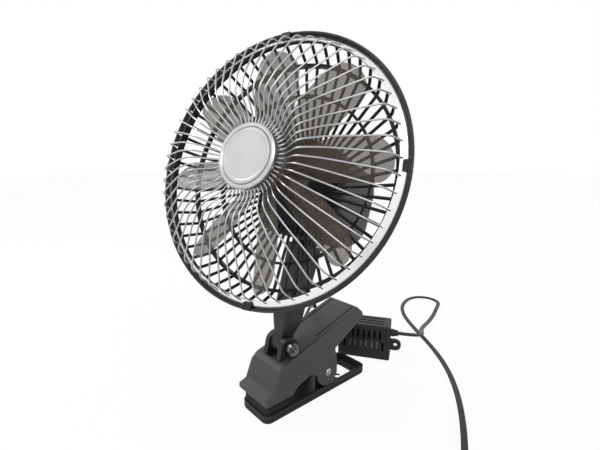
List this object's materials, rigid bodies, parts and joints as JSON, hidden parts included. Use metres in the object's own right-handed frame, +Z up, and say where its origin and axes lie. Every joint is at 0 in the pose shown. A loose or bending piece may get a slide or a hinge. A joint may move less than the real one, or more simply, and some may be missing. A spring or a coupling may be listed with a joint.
{
  "type": "clip-on oscillating fan",
  "caption": "Clip-on oscillating fan with a round wire guard on a tilting neck, a spring clamp and an inline vented box on its lead.",
  "frame": {"origin": "centre of the lower jaw's underside, on the surface that the clamp stands on", "axes": "+X across the jaws, -Y to the front where the jaws open, +Z up"},
  "size_m": [0.2699, 0.4786, 0.3323],
  "materials": {
    "black_plastic": "matte",
    "charcoal_plastic": "satin",
    "chrome": "polished",
    "steel": "satin",
    "brass": "satin",
    "smoke_plastic": "gloss",
    "rubber": "matte",
    "lead_black": "satin",
    "ceramic": "matte"
  },
  "bodies": {
    "clamp_top": {"upper_jaw": "charcoal_plastic", "upper_pad": "rubber", "pivot_pin": "steel", "jaw_spring": "steel", "knuckle_bracket": "black_plastic", "bracket_screw_left": "steel", "bracket_screw_right": "steel", "knuckle_bolt": "steel", "box_base": "black_plastic", "box_cover": "black_plastic", "box_screw_left": "steel", "box_screw_right": "steel", "resistor": "ceramic", "switch_body": "black_plastic", "box_gland_in": "black_plastic", "box_gland_out": "black_plastic", "head_lead": "lead_black", "plug_lead": "lead_black", "plug_coil": "lead_black", "coil_tie": "black_plastic", "plug_boot": "black_plastic", "plug_body": "black_plastic", "plug_nose": "black_plastic", "plug_contact_left": "steel", "plug_contact_right": "steel"},
    "clamp_foot": {"lower_jaw": "black_plastic", "lower_pad": "rubber"},
    "thumb_nut": {"thumb_nut": "steel"},
    "neck": {"neck_post": "black_plastic", "swivel_pin": "steel", "swivel_washer": "black_plastic", "swivel_clip": "steel", "neck_gland": "black_plastic"},
    "head": {"motor_front_shell": "black_plastic", "motor_rear_shell": "black_plastic", "motor_can": "steel", "front_bush": "brass", "rear_bush": "brass", "swivel_bush": "black_plastic", "gearbox_case": "black_plastic", "rear_guard": "black_plastic", "guard_rim": "black_plastic", "front_guard": "chrome", "centre_cap": "chrome", "guard_screw_1": "steel", "guard_screw_2": "steel", "guard_screw_3": "steel"},
    "rotor": {"fan_blades": "smoke_plastic", "motor_shaft": "steel", "spinner_nut": "smoke_plastic"},
    "crank": {"crank_disc": "black_plastic"},
    "knob": {"pull_knob": "black_plastic"},
    "switch": {"switch_slider": "black_plastic"},
    "tip": {"plug_tip": "steel"}
  },
  "joints": [
    {"name": "jaw_open", "type": "hinge", "parent": "clamp_top", "child": "clamp_foot", "pos_m": [0, 0.007, 0.0245], "axis": [1, 0, 0], "range_deg": [0, 25], "stiffness_Nm_per_rad": 2, "springref_deg": -22.92, "deforming": ["jaw_spring"]},
    {"name": "thumb_turn", "type": "hinge", "parent": "clamp_top", "child": "thumb_nut", "pos_m": [0, -0.0345, 0.061], "axis": [1, 0, 0], "continuous": true},
    {"name": "head_tilt", "type": "hinge", "parent": "clamp_top", "child": "neck", "pos_m": [0, -0.0345, 0.061], "axis": [-1, 0, 0], "range_deg": [-38, 25], "deforming": ["head_lead"]},
    {"name": "head_swing", "type": "hinge", "parent": "neck", "child": "head", "pos_m": [0, -0.0031, 0.15594], "axis": [0, 0.314, 0.9494], "range_deg": [-58.2, 21.8]},
    {"name": "fan_spin", "type": "hinge", "parent": "head", "child": "rotor", "pos_m": [0.02499, -0.06018, 0.22538], "axis": [0.3123, -0.9019, 0.2983], "continuous": true},
    {"name": "crank_turn", "type": "hinge", "parent": "head", "child": "crank", "pos_m": [-0.00937, 0.03055, 0.16693], "axis": [0, 0.314, 0.9494], "continuous": true},
    {"name": "knob_pull", "type": "slide", "parent": "head", "child": "knob", "axis": [0, 0.314, 0.9494], "range_m": [0, 0.005]},
    {"name": "switch_slide", "type": "slide", "parent": "clamp_top", "child": "switch", "axis": [-0.8425, -0.5388, 0], "range_m": [0, 0.0048]},
    {"name": "tip_press", "type": "slide", "parent": "clamp_top", "child": "tip", "axis": [0.6561, 0.7547, 0], "range_m": [0, 0.004], "stiffness_N_per_m": 300, "springref_m": -0.004}
  ],
  "couplings": [
    {"joint": "crank_turn", "follows": "fan_spin", "ratio": 0.004}
  ]
}
